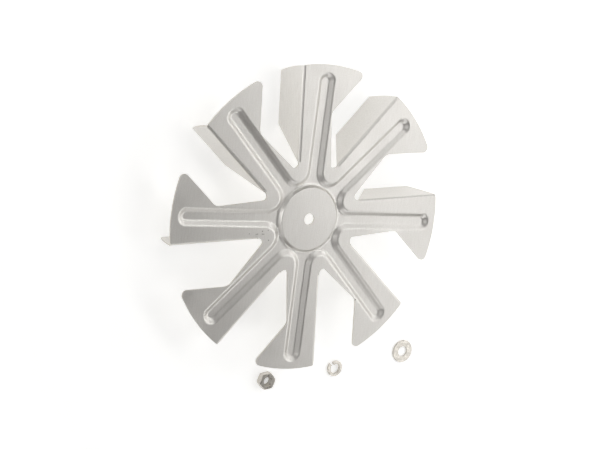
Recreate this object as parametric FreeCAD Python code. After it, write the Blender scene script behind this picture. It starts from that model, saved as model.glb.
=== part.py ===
import FreeCAD, Part
import math
import os

from FreeCAD import Vector

# Oven fan wheel, pressed and folded from one steel blank, with the nut and the two
# washers that fix it to its shaft lying beside it. Sizes are in millimetres, angles in
# degrees. The origin is the centre of the shaft hole on the hub's front face, +Z points
# out of the front of the wheel, and blade 0 stands along +Y.

# Blank
wheel_diameter = 150.0
sheet_thickness = 0.8
blade_count = 8
shaft_hole_diameter = 5.5

# Pressed star: a round groove about the hub and one groove along each blade
groove_depth = 1.5
groove_floor_width = 4.1
groove_wall_run = 2.3
groove_end_reach = 71.0
hub_disc_diameter = 30.8
hub_wall_run = 1.1
web_nose_radius = 5.2
press_edge_radius = 2.5
press_root_radius = 2.0

# Outline of a blade, in its own frame: across the blade (clockwise side positive) and
# along it from the hub
fold_root_across = -10.3
fold_root_along = 27.5
fold_lean = 4.9
waist_across = 4.9
waist_along = 52.0
waist_radius = 5.0
tip_angle = 16.85
tip_radius = 2.5
slot_left_across = 8.7
slot_bottom_along = 25.2
slot_width = 3.8
slot_corner_radius = 1.6

# Flange folded to the back along the other side of the blade
flange_depth = 19.0
fold_angle = 87.2
bend_inner_radius = 0.7
flange_root_depth = 0.9
flange_heel_run = 15.4
flange_heel_radius = 1.5
flange_toe_radius = 0.8

# Fixings for an M5 shaft end
nut_across_flats = 8.0
nut_height = 4.0
nut_bore_diameter = 4.2
nut_mouth_diameter = 5.4
nut_face_diameter = 7.6
nut_chamfer_angle = 30.0
spring_inner_diameter = 5.1
spring_outer_diameter = 8.4
spring_section_height = 1.3
spring_rise = 1.1
spring_split_width = 0.9
plain_inner_diameter = 5.3
plain_outer_diameter = 12.0
plain_thickness = 1.0
plain_edge_chamfer = 0.15

# Where the fixings lie, and how each is turned
nut_place = (-2.0, -86.0)
nut_turn = 12.0
spring_place = (38.8, -81.2)
spring_turn = 140.0
plain_place = (80.5, -73.3)

# Worked out from the sizes above
rim_radius = wheel_diameter / 2
floor_level = -flange_depth
blade_pitch = 360.0 / blade_count
bend_outer_radius = bend_inner_radius + sheet_thickness
beyond_rim = rim_radius + flange_depth
tool_height = flange_depth + groove_depth + 2 * sheet_thickness
trim_reach = 2 * flange_depth
same_place = 1e-4


def turn_about_axis(shape, degrees):
    turned = shape.copy()
    turned.rotate(Vector(0, 0, 0), Vector(0, 0, 1), degrees)
    return turned


def around_hub(shape):
    return [turn_about_axis(shape, -number * blade_pitch) for number in range(blade_count)]


def in_blade(number, across, along, height=0.0):
    angle = math.radians(90.0 - number * blade_pitch)
    x = along * math.cos(angle) + across * math.sin(angle)
    y = along * math.sin(angle) - across * math.cos(angle)
    return Vector(x, y, height)


def edges_at_level(shape, level, within):
    found = []
    for edge in shape.Edges:
        points = edge.discretize(5)
        flat = all(abs(point.z - level) < same_place for point in points)
        if flat and max(math.hypot(point.x, point.y) for point in points) < within:
            found.append(edge)
    return found


def edges_along(shape, start, direction):
    """Straight edges of a shape that lie on the line through a point."""
    found = []
    for edge in shape.Edges:
        ends = [vertex.Point for vertex in edge.Vertexes]
        if len(ends) == 2 and ends[0].distanceToPoint(ends[1]) > sheet_thickness:
            if all(end.distanceToLine(start, direction) < same_place for end in ends):
                found.append(edge)
    return found


def star_outline(spread, level):
    """Outline of the grooves, spread millimetres out from the edge of their floor."""
    half_width = groove_floor_width / 2 + spread
    nose_radius = web_nose_radius + groove_wall_run - spread
    end_centre = groove_end_reach - groove_floor_width / 2 - groove_wall_run
    half_pitch = math.radians(blade_pitch / 2)
    nose_centre = (half_width + nose_radius) / math.sin(half_pitch)
    tangent_along = nose_centre * math.cos(half_pitch)
    edges = []
    for number in range(blade_count):
        left_in = in_blade(number, -half_width, tangent_along, level)
        left_out = in_blade(number, -half_width, end_centre, level)
        end = in_blade(number, 0, end_centre + half_width, level)
        right_out = in_blade(number, half_width, end_centre, level)
        right_in = in_blade(number, half_width, tangent_along, level)
        nose = in_blade(number + 0.5, 0, nose_centre - nose_radius, level)
        next_in = in_blade(number + 1, -half_width, tangent_along, level)
        edges.append(Part.LineSegment(left_in, left_out).toShape())
        edges.append(Part.Arc(left_out, end, right_out).toShape())
        edges.append(Part.LineSegment(right_out, right_in).toShape())
        edges.append(Part.Arc(right_in, nose, next_in).toShape())
    return Part.Wire(edges)


def star_block(root_radius):
    """Solid with the star sunk in its top, its walls run out into the floor by a radius."""
    block = Part.makeCylinder(beyond_rim, tool_height, Vector(0, 0, -tool_height))
    top = star_outline(groove_wall_run, 0.0)
    floor = star_outline(0.0, -groove_depth)
    block = block.cut(Part.makeLoft([floor, top], True, True))
    return block.makeFillet(root_radius, edges_at_level(block, -groove_depth, rim_radius))


def hub_rise():
    hub_radius = hub_disc_diameter / 2
    hub_foot_radius = hub_radius + hub_wall_run
    return Part.makeCone(hub_foot_radius, hub_radius, groove_depth, Vector(0, 0, -groove_depth))


def pressed_sheet():
    front = star_block(press_root_radius)
    front = front.makeFillet(press_edge_radius, edges_at_level(front, 0.0, rim_radius))
    back = star_block(press_root_radius + sheet_thickness / 2).fuse(hub_rise())
    back.translate(Vector(0, 0, -sheet_thickness))
    return front.fuse(hub_rise()).cut(back)


def fold_point(run, out, height=0.0):
    """Point run along blade 0's fold line from its root and out beyond it."""
    lean = math.radians(fold_lean)
    across = fold_root_across - run * math.sin(lean) - out * math.cos(lean)
    along = fold_root_along + run * math.cos(lean) - out * math.sin(lean)
    return Vector(across, along, height)


def rim_run(out):
    """Run at which a point of the flat blank, out beyond the fold line, is on the rim."""
    lean = math.radians(fold_lean)
    start = fold_point(0, out)
    middle = start.x * math.sin(lean) - start.y * math.cos(lean)
    return middle + math.sqrt(middle ** 2 - start.Length ** 2 + rim_radius ** 2)


def crossing(start, direction, other, other_direction):
    """Where two lines in the plane of the blank meet."""
    gap = other - start
    turn = direction.x * other_direction.y - direction.y * other_direction.x
    reach = (gap.x * other_direction.y - gap.y * other_direction.x) / turn
    return start + direction * reach


def upright_prism(points, bottom, height):
    flat = [Vector(point.x, point.y, bottom) for point in points]
    face = Part.Face(Part.makePolygon(flat + [flat[0]]))
    return face.extrude(Vector(0, 0, height))


def round_upright(shape, corners, radius):
    edges = []
    for corner in corners:
        edges += edges_along(shape, corner, Vector(0, 0, 1))
    return shape.makeFillet(radius, edges)


def blade_tip(number):
    angle = math.radians(tip_angle)
    return in_blade(number, rim_radius * math.sin(angle), rim_radius * math.cos(angle))


def blade_gap():
    """What is cut out of the blank between blade 7 and blade 0, up to blade 0's bend."""
    far = beyond_rim - fold_root_along
    waist = in_blade(-1, waist_across, waist_along)
    slot_left = in_blade(-1, slot_left_across, slot_bottom_along)
    inward = (slot_left - waist).normalize()
    outward = (blade_tip(-1) - waist).normalize()
    across_slot = Vector(-inward.y, inward.x, 0) * slot_width
    beside_fold = fold_point(0, 1) - fold_point(0, 0)
    slot_top = crossing(waist, inward, fold_point(0, 0), beside_fold)
    gap = upright_prism([fold_point(0, -bend_outer_radius),
                         fold_point(far, -bend_outer_radius),
                         blade_tip(-1) + outward * far, waist, slot_top],
                        -tool_height, 2 * tool_height)
    gap = round_upright(gap, [waist], waist_radius)
    slot = upright_prism([slot_top, slot_left, slot_left + across_slot,
                          slot_top + across_slot], -tool_height, 2 * tool_height)
    slot = round_upright(slot, [slot_left, slot_left + across_slot], slot_corner_radius)
    return gap.fuse(slot)


def blank():
    """The flat blank without its flanges, as a tall prism."""
    shape = Part.makeCylinder(rim_radius, 2 * tool_height, Vector(0, 0, -tool_height))
    shape = shape.cut(around_hub(blade_gap()))
    shape = round_upright(shape, [blade_tip(number) for number in range(blade_count)],
                          tip_radius)
    bore = Part.makeCylinder(shaft_hole_diameter / 2, 2 * tool_height,
                             Vector(0, 0, -tool_height))
    return shape.cut(bore)


def bend_point(radius, angle, drop=0.0):
    """Point of blade 0's bend, angle degrees round it, then drop along the flange."""
    turn = math.radians(angle)
    out = radius * math.sin(turn) + drop * math.cos(turn) - bend_outer_radius
    height = radius * math.cos(turn) - drop * math.sin(turn) - bend_outer_radius
    return fold_point(0, out, height)


def flange():
    """Blade 0's flange with its bend."""
    outer = bend_outer_radius
    inner = bend_inner_radius
    drop = trim_reach
    section = Part.Wire([
        Part.Arc(bend_point(outer, 0), bend_point(outer, fold_angle / 2),
                 bend_point(outer, fold_angle)).toShape(),
        Part.LineSegment(bend_point(outer, fold_angle),
                         bend_point(outer, fold_angle, drop)).toShape(),
        Part.LineSegment(bend_point(outer, fold_angle, drop),
                         bend_point(inner, fold_angle, drop)).toShape(),
        Part.LineSegment(bend_point(inner, fold_angle, drop),
                         bend_point(inner, fold_angle)).toShape(),
        Part.Arc(bend_point(inner, fold_angle), bend_point(inner, fold_angle / 2),
                 bend_point(inner, 0)).toShape(),
        Part.LineSegment(bend_point(inner, 0), bend_point(outer, 0)).toShape(),
    ])
    folded = Part.Face(section).extrude(fold_point(beyond_rim, 0) - fold_point(0, 0))

    def outline_point(run, height):
        return fold_point(run, trim_reach, height)

    top = [outline_point(0, outer), outline_point(rim_run(-outer), outer)]
    toe = outline_point(rim_run(flange_depth), -flange_depth)
    heel = outline_point(flange_heel_run, -flange_depth)
    root = outline_point(0, -flange_root_depth)
    end = Part.Arc(top[1], outline_point(rim_run(flange_depth / 2), -flange_depth / 2), toe)
    outline = Part.Wire([
        Part.LineSegment(top[0], top[1]).toShape(),
        end.toShape(),
        Part.LineSegment(toe, heel).toShape(),
        Part.LineSegment(heel, root).toShape(),
        Part.LineSegment(root, top[0]).toShape(),
    ])
    inward = fold_point(0, -2 * trim_reach) - fold_point(0, 0)
    trim = Part.Face(outline).extrude(inward)
    trim = trim.makeFillet(flange_toe_radius, edges_along(trim, toe, inward))
    trim = trim.makeFillet(flange_heel_radius, edges_along(trim, heel, inward))
    return folded.common(trim)


def fan_wheel():
    wheel = pressed_sheet().common(blank())
    wheel = wheel.fuse(around_hub(flange()))
    return wheel.removeSplitter()


def fixing_nut():
    corner_radius = nut_across_flats / 2 / math.cos(math.radians(30.0))
    corners = []
    for number in range(6):
        angle = math.radians(60.0 * number + nut_turn)
        corners.append(Vector(corner_radius * math.cos(angle),
                              corner_radius * math.sin(angle), 0))
    nut = upright_prism(corners, 0, nut_height)
    face_radius = nut_face_diameter / 2
    chamfer = (corner_radius - face_radius) * math.tan(math.radians(nut_chamfer_angle))
    lens = Part.Face(Part.makePolygon([
        Vector(0, 0, 0), Vector(face_radius, 0, 0), Vector(corner_radius, 0, chamfer),
        Vector(corner_radius, 0, nut_height - chamfer), Vector(face_radius, 0, nut_height),
        Vector(0, 0, nut_height), Vector(0, 0, 0)]))
    nut = nut.common(lens.revolve(Vector(0, 0, 0), Vector(0, 0, 1), 360))
    bore_radius = nut_bore_diameter / 2
    mouth_radius = nut_mouth_diameter / 2
    mouth_depth = mouth_radius - bore_radius
    nut = nut.cut(Part.makeCylinder(bore_radius, nut_height))
    nut = nut.cut(Part.makeCone(mouth_radius, bore_radius, mouth_depth))
    top_mouth = Part.makeCone(bore_radius, mouth_radius, mouth_depth,
                              Vector(0, 0, nut_height - mouth_depth))
    return lay_down(nut.cut(top_mouth), nut_place)


def spring_washer():
    inner = spring_inner_diameter / 2
    outer = spring_outer_diameter / 2
    middle = (inner + outer) / 2
    turn = 1.0 - spring_split_width / (2 * math.pi * middle)
    helix = Part.makeHelix(spring_rise / turn, spring_rise, middle)
    section = Part.makePolygon([
        Vector(inner, 0, 0), Vector(outer, 0, 0), Vector(outer, 0, spring_section_height),
        Vector(inner, 0, spring_section_height), Vector(inner, 0, 0)])
    washer = Part.Wire(helix).makePipeShell([section], True, True)
    # A coil of one turn tips over onto its low end and the point across from it
    climb = spring_rise / turn / (2 * math.pi)
    rest_normal = Vector(climb * math.pi / 2 / outer, climb / outer, 1)
    tip = FreeCAD.Rotation(rest_normal, Vector(0, 0, 1))
    washer.rotate(Vector(0, 0, 0), tip.Axis, math.degrees(tip.Angle))
    washer.rotate(Vector(0, 0, 0), Vector(0, 0, 1), spring_turn)
    return lay_down(washer, spring_place)


def plain_washer():
    outer = Part.makeCylinder(plain_outer_diameter / 2, plain_thickness)
    rims = [edge for edge in outer.Edges if edge.Closed and len(edge.Vertexes) == 1]
    outer = outer.makeChamfer(plain_edge_chamfer, rims)
    washer = outer.cut(Part.makeCylinder(plain_inner_diameter / 2, plain_thickness))
    return lay_down(washer, plain_place)


def lay_down(shape, place):
    lowest = shape.optimalBoundingBox(False, False).ZMin
    laid = shape.copy()
    laid.translate(Vector(place[0], place[1], floor_level - lowest))
    return laid


pieces = {
    "fan_wheel": fan_wheel(),
    "fixing_nut": fixing_nut(),
    "spring_washer": spring_washer(),
    "plain_washer": plain_washer(),
}

os.makedirs("parts", exist_ok=True)
for name, shape in pieces.items():
    shape.exportStep("parts/" + name + ".step")
    box = shape.BoundBox
    print(name, "solids", len(shape.Solids), "valid", shape.isValid(),
          "volume %.1f" % shape.Volume,
          "box %.2f %.2f %.2f to %.2f %.2f %.2f" % (box.XMin, box.YMin, box.ZMin,
                                                    box.XMax, box.YMax, box.ZMax))
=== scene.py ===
import math

import bmesh
import bpy
from mathutils import Euler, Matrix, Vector
from mathutils.bvhtree import BVHTree


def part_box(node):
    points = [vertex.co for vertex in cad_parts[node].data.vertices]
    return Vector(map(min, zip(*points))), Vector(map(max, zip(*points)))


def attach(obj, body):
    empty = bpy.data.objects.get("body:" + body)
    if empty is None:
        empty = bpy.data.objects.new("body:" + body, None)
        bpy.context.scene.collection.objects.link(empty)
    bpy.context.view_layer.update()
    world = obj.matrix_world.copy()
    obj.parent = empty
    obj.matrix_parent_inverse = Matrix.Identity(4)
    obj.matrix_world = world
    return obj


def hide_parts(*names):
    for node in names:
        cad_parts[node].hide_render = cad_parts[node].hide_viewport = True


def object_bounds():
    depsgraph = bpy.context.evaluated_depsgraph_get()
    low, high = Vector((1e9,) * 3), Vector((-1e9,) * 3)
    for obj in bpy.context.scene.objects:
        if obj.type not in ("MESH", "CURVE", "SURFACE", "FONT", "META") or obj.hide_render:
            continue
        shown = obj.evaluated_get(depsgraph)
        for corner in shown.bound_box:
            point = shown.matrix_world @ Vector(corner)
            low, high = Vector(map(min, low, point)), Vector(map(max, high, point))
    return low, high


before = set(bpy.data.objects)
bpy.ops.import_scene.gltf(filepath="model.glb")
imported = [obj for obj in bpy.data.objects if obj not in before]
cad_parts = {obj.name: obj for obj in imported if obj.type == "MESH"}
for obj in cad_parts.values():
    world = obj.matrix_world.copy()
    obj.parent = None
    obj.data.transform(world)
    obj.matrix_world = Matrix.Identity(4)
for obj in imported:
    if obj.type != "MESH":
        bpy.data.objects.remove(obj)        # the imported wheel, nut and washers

# Fan wheel of an oven, pressed and folded from one blank of aluminised steel sheet.
# It lies on its folded flanges with its front up, and its nut and two washers lie
# beside it. Metres all through, in the same frame as the solids.

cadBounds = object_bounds()
mm = 0.001
floorLevel = cadBounds[0][2]
print("frame loaded, floor at %.4f m" % floorLevel)


# Turns an sRGB hex colour to a linear one by the standard curve
def srgb(hexColour):
    digits = hexColour.lstrip("#")
    linear = []
    for start in (0, 2, 4):
        value = int(digits[start:start + 2], 16) / 255
        linear.append(value / 12.92 if value <= 0.04045 else ((value + 0.055) / 1.055) ** 2.4)
    return (*linear, 1.0)


# Adds one node with its settings, and links what is given to its inputs
def addNode(material, kind, settings=None, values=None, links=None):
    tree = material.node_tree
    node = tree.nodes.new(kind)
    for name, value in (settings or {}).items():
        setattr(node, name, value)
    for name, value in (values or {}).items():
        node.inputs[name].default_value = value
    for name, socket in (links or {}).items():
        tree.links.new(socket, node.inputs[name])
    return node


def newMaterial(name):
    material = bpy.data.materials.new(name)
    material.use_nodes = True
    shader = material.node_tree.nodes["Principled BSDF"]
    return material, shader, material.node_tree.links.new


noiseFrom, noiseTo = 0.3, 0.7    # most values of a noise texture lie between these

sheetSteel = {
    "light": "#e6e4e0",
    "dark": "#dad7d2",
    "toneFrom": 0.65,            # sum of lines and grain that is darkest, and lightest
    "toneTo": 1.35,
    "roughness": 0.4,
    "roughnessSwing": 0.04,
    "rollLineMm": 0.55,          # real rolling lines are about 0.05 mm, too fine to show
    "rollStretch": 14.0,
    "grainMm": 0.6,              # real grain is about 0.1 mm, drawn coarser to show
    "cloudMm": 21.0,
    "grainDepthMm": 0.006,
    "grainStrength": 0.5,
    "mark": "#6f6a62",           # where bare steel or dirt shows in a scuff
    "markStrength": 0.85,
    "markCore": 0.4,             # share of its radius over which a mark is at its darkest
    # small marks that this wheel has: place in mm, radius in mm. Most of the places were
    # worked out from points of the photograph with the camera that was fitted to it
    "marks": [((33.3, -40.3, -0.1), 0.5), ((12.3, 27.5, 0.0), 0.35), ((-22.3, -5.9, 0.0), 0.3),
              ((-25.4, -6.4, 0.0), 0.4), ((-28.7, -7.9, 0.0), 0.34), ((-27.9, -7.8, 0.0), 0.34),
              ((-25.3, -7.8, 0.0), 0.34), ((-24.5, -7.8, 0.0), 0.34), ((-32.5, -7.7, 0.0), 0.3),
              ((-28.9, -9.7, 0.0), 0.3), ((-21.4, -10.7, 0.0), 0.35)],
}


# Hot-dip aluminised sheet: rolled steel in an aluminium-silicon skin. It gives the eye a
# satin, slightly cloudy grey with fine lines along the rolling direction
def aluminisedSheet():
    material, shader, link = newMaterial("aluminisedSheet")
    place = addNode(material, "ShaderNodeTexCoord").outputs["Object"]
    lineScale = 1 / (sheetSteel["rollLineMm"] * mm)
    stretched = addNode(material, "ShaderNodeMapping", values={
        "Scale": (lineScale, lineScale / sheetSteel["rollStretch"], lineScale)},
        links={"Vector": place})
    rollLines = addNode(material, "ShaderNodeTexNoise", values={
        "Scale": 1.0, "Detail": 3.0, "Roughness": 0.6},
        links={"Vector": stretched.outputs["Vector"]})
    grain = addNode(material, "ShaderNodeTexNoise", values={
        "Scale": 1 / (sheetSteel["grainMm"] * mm), "Detail": 2.0, "Roughness": 0.7},
        links={"Vector": place})
    cloud = addNode(material, "ShaderNodeTexNoise", values={
        "Scale": 1 / (sheetSteel["cloudMm"] * mm), "Detail": 3.0, "Roughness": 0.55},
        links={"Vector": place})
    texture = addNode(material, "ShaderNodeMath", {"operation": "ADD"},
                      links={0: rollLines.outputs["Fac"], 1: grain.outputs["Fac"]})
    tone = addNode(material, "ShaderNodeMapRange", values={
        "From Min": sheetSteel["toneFrom"], "From Max": sheetSteel["toneTo"]},
        links={"Value": texture.outputs["Value"]})
    colour = addNode(material, "ShaderNodeMix", {"data_type": "RGBA"}, values={
        "A": srgb(sheetSteel["dark"]), "B": srgb(sheetSteel["light"])},
        links={"Factor": tone.outputs["Result"]})
    for spot, radius in sheetSteel["marks"]:
        away = addNode(material, "ShaderNodeVectorMath", {"operation": "DISTANCE"},
                       values={1: [value * mm for value in spot]}, links={0: place})
        inMark = addNode(material, "ShaderNodeMapRange", values={
            "From Min": radius * sheetSteel["markCore"] * mm, "From Max": radius * mm,
            "To Min": sheetSteel["markStrength"], "To Max": 0.0},
            links={"Value": away.outputs["Value"]})
        colour = addNode(material, "ShaderNodeMix", {"data_type": "RGBA"},
                         values={"B": srgb(sheetSteel["mark"])}, links={
                             "Factor": inMark.outputs["Result"], "A": colour.outputs["Result"]})
    link(colour.outputs["Result"], shader.inputs["Base Color"])
    rough = addNode(material, "ShaderNodeMapRange", values={
        "From Min": noiseFrom, "From Max": noiseTo,
        "To Min": sheetSteel["roughness"] - sheetSteel["roughnessSwing"],
        "To Max": sheetSteel["roughness"] + sheetSteel["roughnessSwing"]},
        links={"Value": cloud.outputs["Fac"]})
    link(rough.outputs["Result"], shader.inputs["Roughness"])
    bump = addNode(material, "ShaderNodeBump", values={
        "Strength": sheetSteel["grainStrength"], "Distance": sheetSteel["grainDepthMm"] * mm},
        links={"Height": texture.outputs["Value"]})
    link(bump.outputs["Normal"], shader.inputs["Normal"])
    shader.inputs["Metallic"].default_value = 1.0
    return material


cutEdge = {
    "burnished": "#dedad3",
    "torn": "#bfbab1",
    "bandMm": 0.5,
    "roughness": 0.36,
}


# Sheared steel edge: bare steel, burnished in parts and torn in others. It is a little
# darker than the coated faces
def shearedEdge():
    material, shader, link = newMaterial("shearedSteelEdge")
    place = addNode(material, "ShaderNodeTexCoord").outputs["Object"]
    band = addNode(material, "ShaderNodeTexNoise", values={
        "Scale": 1 / (cutEdge["bandMm"] * mm), "Detail": 4.0, "Roughness": 0.7},
        links={"Vector": place})
    colour = addNode(material, "ShaderNodeMix", {"data_type": "RGBA"}, values={
        "A": srgb(cutEdge["burnished"]), "B": srgb(cutEdge["torn"])},
        links={"Factor": band.outputs["Fac"]})
    link(colour.outputs["Result"], shader.inputs["Base Color"])
    shader.inputs["Metallic"].default_value = 1.0
    shader.inputs["Roughness"].default_value = cutEdge["roughness"]
    return material


zincPlate = {
    "bright": "#e0dcd5",
    "dull": "#b4afa6",
    "roughness": 0.3,
    "roughnessSwing": 0.07,
    "mottleMm": 1.3,
    "scratchMm": 0.35,
    "scratchDepthMm": 0.004,
    "scratchStrength": 0.3,
}


# Bright zinc plating on small turned and rolled steel parts: glossy, with faint tumbling
# marks and duller patches
def platedSteel():
    material, shader, link = newMaterial("brightZincPlate")
    place = addNode(material, "ShaderNodeTexCoord").outputs["Object"]
    mottle = addNode(material, "ShaderNodeTexNoise", values={
        "Scale": 1 / (zincPlate["mottleMm"] * mm), "Detail": 3.0, "Roughness": 0.6},
        links={"Vector": place})
    scratch = addNode(material, "ShaderNodeTexNoise", values={
        "Scale": 1 / (zincPlate["scratchMm"] * mm), "Detail": 2.0, "Distortion": 1.5},
        links={"Vector": place})
    colour = addNode(material, "ShaderNodeMix", {"data_type": "RGBA"}, values={
        "A": srgb(zincPlate["bright"]), "B": srgb(zincPlate["dull"])},
        links={"Factor": mottle.outputs["Fac"]})
    link(colour.outputs["Result"], shader.inputs["Base Color"])
    rough = addNode(material, "ShaderNodeMapRange", values={
        "From Min": noiseFrom, "From Max": noiseTo,
        "To Min": zincPlate["roughness"] - zincPlate["roughnessSwing"],
        "To Max": zincPlate["roughness"] + zincPlate["roughnessSwing"]},
        links={"Value": mottle.outputs["Fac"]})
    link(rough.outputs["Result"], shader.inputs["Roughness"])
    bump = addNode(material, "ShaderNodeBump", values={
        "Strength": zincPlate["scratchStrength"],
        "Distance": zincPlate["scratchDepthMm"] * mm}, links={"Height": scratch.outputs["Fac"]})
    link(bump.outputs["Normal"], shader.inputs["Normal"])
    shader.inputs["Metallic"].default_value = 1.0
    return material


meshWork = {
    "joinMm": 0.001,             # corners nearer than this are one corner
    "flatDegrees": 0.4,          # faces that turn by less are one face
    "bevelSegments": 2,
}


def makeActive(piece):
    bpy.ops.object.select_all(action="DESELECT")
    piece.select_set(True)
    bpy.context.view_layer.objects.active = piece


def applyModifier(piece, kind, **settings):
    makeActive(piece)
    modifier = piece.modifiers.new(kind.lower(), kind)
    for name, value in settings.items():
        setattr(modifier, name, value)
    bpy.ops.object.modifier_apply(modifier=modifier.name)


# Copy of a CAD node with its loose triangles joined
def joinedCopy(nodeName, pieceName, *skins):
    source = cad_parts[nodeName]
    piece = bpy.data.objects.new(pieceName, source.data.copy())
    bpy.context.scene.collection.objects.link(piece)
    piece.data.materials.clear()
    for skin in skins:
        piece.data.materials.append(skin)
    mesh = bmesh.new()
    mesh.from_mesh(piece.data)
    bmesh.ops.remove_doubles(mesh, verts=mesh.verts, dist=meshWork["joinMm"] * mm)
    for face in mesh.faces:
        face.material_index = 0
    mesh.to_mesh(piece.data)
    mesh.free()
    return piece


# Makes each flat face whole, so that bevels run evenly along its edges
def wholeFaces(piece):
    mesh = bmesh.new()
    mesh.from_mesh(piece.data)
    bmesh.ops.dissolve_limit(mesh, angle_limit=math.radians(meshWork["flatDegrees"]),
                             verts=mesh.verts, edges=mesh.edges, delimit={"MATERIAL"})
    mesh.to_mesh(piece.data)
    mesh.free()


def softenEdges(piece, widthMm, overDegrees):
    applyModifier(piece, "BEVEL", width=widthMm * mm, segments=meshWork["bevelSegments"],
                  limit_method="ANGLE", angle_limit=math.radians(overDegrees),
                  harden_normals=False)


def smoothRounds(piece, smoothAngle):
    makeActive(piece)
    bpy.ops.object.shade_smooth_by_angle(angle=math.radians(smoothAngle))
    applyModifier(piece, "WEIGHTED_NORMAL", mode="FACE_AREA", keep_sharp=True)


def settle(piece, nodeName):
    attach(piece, "root")
    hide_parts(nodeName)
    print("%s done, %d faces" % (piece.name, len(piece.data.polygons)))


# The pressing in its own sizes. Its walls are a soft S: a round where the wall runs into the
# floor and a wider one where it runs out into the flat sheet
pressing = {
    "blades": 8,
    "depthMm": 1.5,
    "sheetMm": 0.8,
    "floorHalfMm": 2.05,
    "noseMm": 7.5,               # round of the web between two blades, at the floor's edge
    "endCentreMm": 66.65,
    "wallRunMm": 2.07,
    "rootMm": 1.9,
    "shoulderMm": 2.6,
    "rings": 12,
    "roundSteps": 14,
    "hubRimMm": 15.4,
    "hubFootMm": 16.5,
    "hubRimRoundMm": 0.7,
    "hubFootRoundMm": 2.6,
    "hubRings": 7,
    "hubSteps": 72,
    "starMarginMm": 0.01,        # corners this far outside the walls are set as well
    "hubInMm": 0.5,
    "hubOutMm": 1.5,
    "fenceTopMm": 1.0,           # upright faces that cut the sheet, and are deleted again
    "fenceFootMm": -4.0,
    "fenceSlot": 12,             # tells them from the faces of the sheet
    "mergeMm": 0.004,
}
halfPitch = math.pi / pressing["blades"]
noseAcrossMm = pressing["floorHalfMm"] + pressing["noseMm"]
noseAlongMm = noseAcrossMm / math.tan(halfPitch)


# Height in mm above the floor of a wall that is run mm wide and rises to the full depth,
# at a distance from its foot, with the two rounds tangent to its slope
def wallHeight(distance, run, rootRound, topRound):
    depth = pressing["depthMm"]
    slope = math.atan2(depth, run)
    rootHalf = rootRound * math.tan(slope / 2)
    topHalf = topRound * math.tan(slope / 2)
    if distance <= -rootHalf:
        return 0.0
    if distance >= run + topHalf:
        return depth
    if distance < rootHalf * math.cos(slope):
        return rootRound - math.sqrt(rootRound ** 2 - (distance + rootHalf) ** 2)
    if distance > run - topHalf * math.cos(slope):
        return depth - topRound + math.sqrt(topRound ** 2 - (run + topHalf - distance) ** 2)
    return distance * math.tan(slope)


# Angle in the wheel's plane of a blade's middle line
def bladeTurn(blade):
    return math.pi / 2 - blade * 2 * halfPitch


# Distance in mm from the edge of the star's floor, less than 0 on the floor
def fromFloorEdge(x, y):
    turn = bladeTurn(round((math.pi / 2 - math.atan2(y, x)) / (2 * halfPitch)))
    along = (x * math.cos(turn) + y * math.sin(turn)) / mm
    across = abs(x * math.sin(turn) - y * math.cos(turn)) / mm
    if along > pressing["endCentreMm"]:
        return math.hypot(across, along - pressing["endCentreMm"]) - pressing["floorHalfMm"]
    if along > noseAlongMm:
        return across - pressing["floorHalfMm"]
    return pressing["noseMm"] - math.hypot(across - noseAcrossMm, along - noseAlongMm)


# Height in mm of the sheet's front, with soft rounds (1) or with the solid's plain walls (0)
def frontHeight(x, y, soft):
    star = wallHeight(fromFloorEdge(x, y), pressing["wallRunMm"],
                      soft * pressing["rootMm"], soft * pressing["shoulderMm"])
    hub = wallHeight(pressing["hubFootMm"] - math.hypot(x, y) / mm,
                     pressing["hubFootMm"] - pressing["hubRimMm"],
                     soft * pressing["hubFootRoundMm"], soft * pressing["hubRimRoundMm"])
    return star + hub - pressing["depthMm"]


# Closed line round the star of grooves, a distance in mm outside its floor
def starLine(distance):
    end = pressing["floorHalfMm"] + distance
    nose = pressing["noseMm"] - distance
    outline = []
    for step in range(pressing["roundSteps"] + 1):
        swing = math.pi * (step / pressing["roundSteps"] - 0.5)
        outline.append((pressing["endCentreMm"] + end * math.cos(swing), end * math.sin(swing)))
    for step in range(pressing["roundSteps"] + 1):
        swing = (math.pi - 2 * halfPitch) * step / pressing["roundSteps"]
        outline.append((noseAlongMm - nose * math.sin(swing),
                        noseAcrossMm - nose * math.cos(swing)))
    points = []
    for turn in [bladeTurn(blade) for blade in range(pressing["blades"])]:
        points += [(along * math.cos(turn) + across * math.sin(turn),
                    along * math.sin(turn) - across * math.cos(turn))
                   for along, across in outline]
    return points


def hubLine(radius):
    turns = [2 * math.pi * step / pressing["hubSteps"] for step in range(pressing["hubSteps"])]
    return [(radius * math.cos(turn), radius * math.sin(turn)) for turn in turns]


def evenLines(line, first, last, count):
    return [line(first + (last - first) * step / (count - 1)) for step in range(count)]


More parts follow.
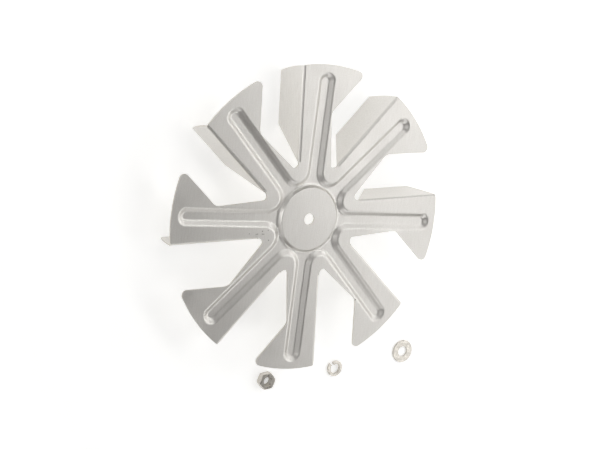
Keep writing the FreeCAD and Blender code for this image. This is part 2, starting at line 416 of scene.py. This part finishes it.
# Cuts a piece along closed lines in mm, and leaves it in edit mode
def cutAlong(piece, lines):
    makeActive(piece)
    bpy.ops.object.mode_set(mode="EDIT")
    bpy.ops.mesh.select_mode(type="FACE")
    bpy.ops.mesh.select_all(action="DESELECT")
    sheet = bmesh.from_edit_mesh(piece.data)
    for line in lines:
        tops = [sheet.verts.new((x * mm, y * mm, pressing["fenceTopMm"] * mm)) for x, y in line]
        feet = [sheet.verts.new((x * mm, y * mm, pressing["fenceFootMm"] * mm))
                for x, y in line]
        for start in range(len(line)):
            after = (start + 1) % len(line)
            fence = sheet.faces.new((tops[start], tops[after], feet[after], feet[start]))
            fence.material_index = pressing["fenceSlot"]
            fence.select_set(True)
    bmesh.update_edit_mesh(piece.data)
    bpy.ops.mesh.intersect(mode="SELECT_UNSELECT", separate_mode="CUT", solver="EXACT")
    bpy.ops.mesh.select_all(action="DESELECT")
    sheet = bmesh.from_edit_mesh(piece.data)
    for face in sheet.faces:
        face.select_set(face.material_index == pressing["fenceSlot"])
    bpy.ops.mesh.delete(type="FACE")
    bpy.ops.mesh.select_all(action="SELECT")
    bpy.ops.mesh.remove_doubles(threshold=pressing["mergeMm"] * mm)
    bpy.ops.mesh.select_all(action="DESELECT")


# Cuts the sheet along lines that follow its pressed walls, then sets each corner to the
# height of a softly pressed wall, on the front and on the back alike
def pressWalls(piece):
    depth, thickness = pressing["depthMm"], pressing["sheetMm"]
    rim, foot = pressing["hubRimMm"], pressing["hubFootMm"]
    slope = math.atan2(depth, pressing["wallRunMm"])
    inner = -pressing["rootMm"] * math.tan(slope / 2)
    outer = pressing["wallRunMm"] + pressing["shoulderMm"] * math.tan(slope / 2)
    hubSlope = math.atan2(depth, foot - rim)
    rimHalf = pressing["hubRimRoundMm"] * math.tan(hubSlope / 2)
    footHalf = pressing["hubFootRoundMm"] * math.tan(hubSlope / 2)
    lines = evenLines(starLine, inner, outer, pressing["rings"])
    lines += evenLines(hubLine, rim - rimHalf, rim + rimHalf * math.cos(hubSlope),
                       pressing["hubRings"])
    lines += evenLines(hubLine, foot - footHalf * math.cos(hubSlope), foot + footHalf,
                       pressing["hubRings"])
    cutAlong(piece, lines)
    margin = pressing["starMarginMm"]
    sheet = bmesh.from_edit_mesh(piece.data)
    pressed = set()
    for vert in sheet.verts:
        x, y, z = vert.co
        onStar = inner - margin < fromFloorEdge(x, y) < outer + margin
        onHub = rim - pressing["hubInMm"] < math.hypot(x, y) / mm < foot + pressing["hubOutMm"]
        if (onStar or onHub) and z > -(depth + 2 * thickness) * mm:
            isFront = z / mm > frontHeight(x, y, 0) - thickness / 2
            vert.co.z = (frontHeight(x, y, 1) - (0 if isFront else thickness)) * mm
            pressed.add(vert.index)
    for face in sheet.faces:
        face.select_set(any(vert.index in pressed for vert in face.verts))
    bmesh.update_edit_mesh(piece.data)
    bpy.ops.mesh.quads_convert_to_tris(quad_method="BEAUTY", ngon_method="BEAUTY")
    bpy.ops.object.mode_set(mode="OBJECT")
    print("walls pressed, %d faces" % len(piece.data.polygons))


wheelLooks = {
    "edgeRoundMm": 0.1,
    "edgeOverDegrees": 60.0,
    "smoothDegrees": 30.0,
    "probeInMm": 0.02,           # a face is measured from just under its skin
    "cutDepth": 1.6,             # in sheet thicknesses
}


# Gives the edge skin to each face that has steel behind it for more than a sheet's thickness
def skinCutEdges(piece):
    mesh = bmesh.new()
    mesh.from_mesh(piece.data)
    tree = BVHTree.FromBMesh(mesh)
    for face in mesh.faces:
        start = face.calc_center_median() - face.normal * wheelLooks["probeInMm"] * mm
        depth = tree.ray_cast(start, -face.normal)[3]
        isCut = depth is None or depth > wheelLooks["cutDepth"] * pressing["sheetMm"] * mm
        face.material_index = 1 if isCut else 0
    mesh.to_mesh(piece.data)
    mesh.free()


wheel = joinedCopy("fan_wheel", "fanWheel", aluminisedSheet(), shearedEdge())
skinCutEdges(wheel)
wholeFaces(wheel)
pressWalls(wheel)
softenEdges(wheel, wheelLooks["edgeRoundMm"], wheelLooks["edgeOverDegrees"])
smoothRounds(wheel, wheelLooks["smoothDegrees"])
settle(wheel, "fan_wheel")

nutThread = {
    "pitchMm": 0.8,
    "majorRadiusMm": 2.5,
    "innerRadiusMm": 2.03,       # just inside the bore, so that the cutter starts in air
    "flankDegrees": 30.0,
    "crestHalfMm": 0.05,
    "turns": 8,
    "steps": 28,
    "startBelowMm": 1.2,
}


# Solid coil with the section of one thread groove, standing on the nut's axis
def threadCutter(centre, lowest):
    inner, major = nutThread["innerRadiusMm"], nutThread["majorRadiusMm"]
    crest = nutThread["crestHalfMm"]
    mouth = crest + (major - inner) * math.tan(math.radians(nutThread["flankDegrees"]))
    corners = [(inner, -mouth), (major, -crest), (major, crest), (inner, mouth)]
    data = bpy.data.meshes.new("threadCutter")
    data.from_pydata([(x * mm, 0, z * mm) for x, z in corners],
                     [(0, 1), (1, 2), (2, 3), (3, 0)], [])
    cutter = bpy.data.objects.new("threadCutter", data)
    bpy.context.scene.collection.objects.link(cutter)
    applyModifier(cutter, "SCREW", axis="Z", angle=2 * math.pi,
                  screw_offset=nutThread["pitchMm"] * mm, iterations=nutThread["turns"],
                  steps=nutThread["steps"], render_steps=nutThread["steps"],
                  use_normal_calculate=True, use_merge_vertices=True)
    coil = bmesh.new()
    coil.from_mesh(data)
    bmesh.ops.holes_fill(coil, edges=[edge for edge in coil.edges if edge.is_boundary])
    bmesh.ops.recalc_face_normals(coil, faces=coil.faces)
    bmesh.ops.translate(coil, verts=coil.verts, vec=Vector((centre[0], centre[1], lowest)))
    coil.to_mesh(data)
    coil.free()
    return cutter


fixingLooks = {
    "edgeRoundMm": 0.09,
    "edgeOverDegrees": 40.0,
    "smoothDegrees": 28.0,
}
zincSkin = platedSteel()


def finishFixing(nodeName, pieceName):
    piece = joinedCopy(nodeName, pieceName, zincSkin)
    wholeFaces(piece)
    lowest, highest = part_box(nodeName)
    if nodeName == "fixing_nut":
        centre = [(lowest[axis] + highest[axis]) / 2 for axis in (0, 1)]
        cutter = threadCutter(centre, lowest[2] - nutThread["startBelowMm"] * mm)
        applyModifier(piece, "BOOLEAN", operation="DIFFERENCE", object=cutter,
                      solver="EXACT")
        bpy.data.objects.remove(cutter)
    softenEdges(piece, fixingLooks["edgeRoundMm"], fixingLooks["edgeOverDegrees"])
    smoothRounds(piece, fixingLooks["smoothDegrees"])
    settle(piece, nodeName)


finishFixing("fixing_nut", "wheelNut")
finishFixing("spring_washer", "springWasher")
finishFixing("plain_washer", "plainWasher")

# White paper table that glows, so that shadows on it stay faint
table = {
    "size": 30.0,
    "colour": "#f4f4f3",
    "roughness": 0.9,
    "glowColour": "#ffffff",
    "glow": 0.46,
    "farGlow": 1.0,              # keeps it white past the lamps
    "glowFrom": 0.15,            # metres from the wheel's axis where the glow starts to rise
    "glowTo": 0.32,
}
bpy.ops.object.select_all(action="DESELECT")
bpy.ops.mesh.primitive_plane_add(size=table["size"], location=(0, 0, floorLevel))
floor = bpy.context.object
floor.name = "paleFloor"
paper, paperShader, paperLink = newMaterial("whiteTable")
paperShader.inputs["Base Color"].default_value = srgb(table["colour"])
paperShader.inputs["Roughness"].default_value = table["roughness"]
paperShader.inputs["Emission Color"].default_value = srgb(table["glowColour"])
fromWheel = addNode(paper, "ShaderNodeVectorMath", {"operation": "LENGTH"}, links={
    "Vector": addNode(paper, "ShaderNodeTexCoord").outputs["Object"]})
glow = addNode(paper, "ShaderNodeMapRange", values={
    "From Min": table["glowFrom"], "From Max": table["glowTo"],
    "To Min": table["glow"], "To Max": table["farGlow"]},
    links={"Value": fromWheel.outputs["Value"]})
paperLink(glow.outputs["Result"], paperShader.inputs["Emission Strength"])
floor.data.materials.append(paper)


# A soft panel lamp: place and direction in metres, size, and how bright its face is.
# Panels aren't seen by the camera itself, only in what they light
def softPanel(name, place, facing, wide, tall, brightness):
    data = bpy.data.lights.new(name, "AREA")
    data.shape = "RECTANGLE"
    data.size = wide
    data.size_y = tall
    data.energy = math.pi * wide * tall * brightness
    lamp = bpy.data.objects.new(name, data)
    lamp.location = place
    lamp.rotation_euler = Vector(facing).to_track_quat("-Z", "Y").to_euler()
    lamp.visible_camera = False
    bpy.context.scene.collection.objects.link(lamp)


# Panels stand to the right, in front and behind, and hang over the wheel. Larger ones stand
# far off on the left, most of them low. Round the camera it stays dark, which draws the
# groove walls that face it. The brightnesses weren't set by hand: a least-squares fit to the
# photograph's tones chose these panels among a grid of them and gave all 19 figures
panels = {
    "wide": 0.22,
    "tall": 0.12,
    "large": 0.5,
    "right": 0.30,               # distances from the wheel's middle
    "ends": 0.33,
    "over": 0.48,
    "left": 0.9,
    "rows": (0.041, 0.161, 0.281, 0.401),
}
wide, tall, large = panels["wide"], panels["tall"], panels["large"]
bottom, low, middle, high = panels["rows"]
for name, column, z, brightness in (
        ("rightBottom", 0, bottom, 0.624), ("rightFrontLow", -1, low, 1.006),
        ("rightLow", 0, low, 1.642), ("rightBackLow", 1, low, 2.412),
        ("rightFrontMiddle", -1, middle, 1.979), ("rightHigh", 0, high, 3.485)):
    softPanel(name, (panels["right"], column * wide, z), (-1, 0, 0), wide, tall, brightness)
for name, column, side, z, brightness in (
        ("frontRightBottom", 0.5, -1, bottom, 1.314), ("frontRight", 0.5, -1, middle, 2.806),
        ("backLeftLow", -0.5, 1, low, 0.708), ("backRightLow", 0.5, 1, low, 0.727),
        ("backLeft", -0.5, 1, middle, 2.276), ("backRight", 0.5, 1, middle, 1.552)):
    softPanel(name, (column * wide, side * panels["ends"], z), (0, -side, 0), wide, tall,
              brightness)
for name, column, row, brightness in (
        ("overFrontLeft", -1, -1, 0.598), ("overLeft", -1, 0, 1.122),
        ("overBackRight", 1, 1, 2.492)):
    softPanel(name, (column * wide, row * wide, panels["over"]), (0, 0, -1), wide, wide,
              brightness)
for name, azimuth, elevation, brightness in (
        ("leftLow", 180, 15, 1.913), ("leftFrontLow", 225, 15, 0.941),
        ("leftBackLow", 135, 15, 0.432), ("leftHigh", 180, 40, 0.386)):
    turn, rise = math.radians(azimuth), math.radians(elevation)
    place = panels["left"] * Vector((math.cos(turn) * math.cos(rise),
                                     math.sin(turn) * math.cos(rise), math.sin(rise)))
    softPanel(name, place, -place, large, large, brightness)

room = {
    "colour": "#fbf7f2",
    "strength": 0.1,
}
world = bpy.data.worlds.new("paleRoom")
bpy.context.scene.world = world
world.use_nodes = True
backdrop = world.node_tree.nodes["Background"]
backdrop.inputs["Color"].default_value = srgb(room["colour"])
backdrop.inputs["Strength"].default_value = room["strength"]

# The camera that was fitted to the photograph
photoView = {
    "sensorMm": 36.0,
    "lensMm": 98.084,
    "place": (-0.425379, 0.130376, 0.650554),
    "turn": (-0.170477, -0.573839, 0.128837),
    "turnOrder": "ZXY",
}
cameraData = bpy.data.cameras.new("photoCamera")
cameraData.sensor_width = photoView["sensorMm"]
cameraData.lens = photoView["lensMm"]
camera = bpy.data.objects.new("photoCamera", cameraData)
camera.location = photoView["place"]
camera.rotation_mode = photoView["turnOrder"]
camera.rotation_euler = Euler(photoView["turn"], photoView["turnOrder"])
bpy.context.scene.collection.objects.link(camera)
bpy.context.scene.camera = camera
bpy.context.scene.view_settings.view_transform = "Standard"
print("floor, lamps and camera done")
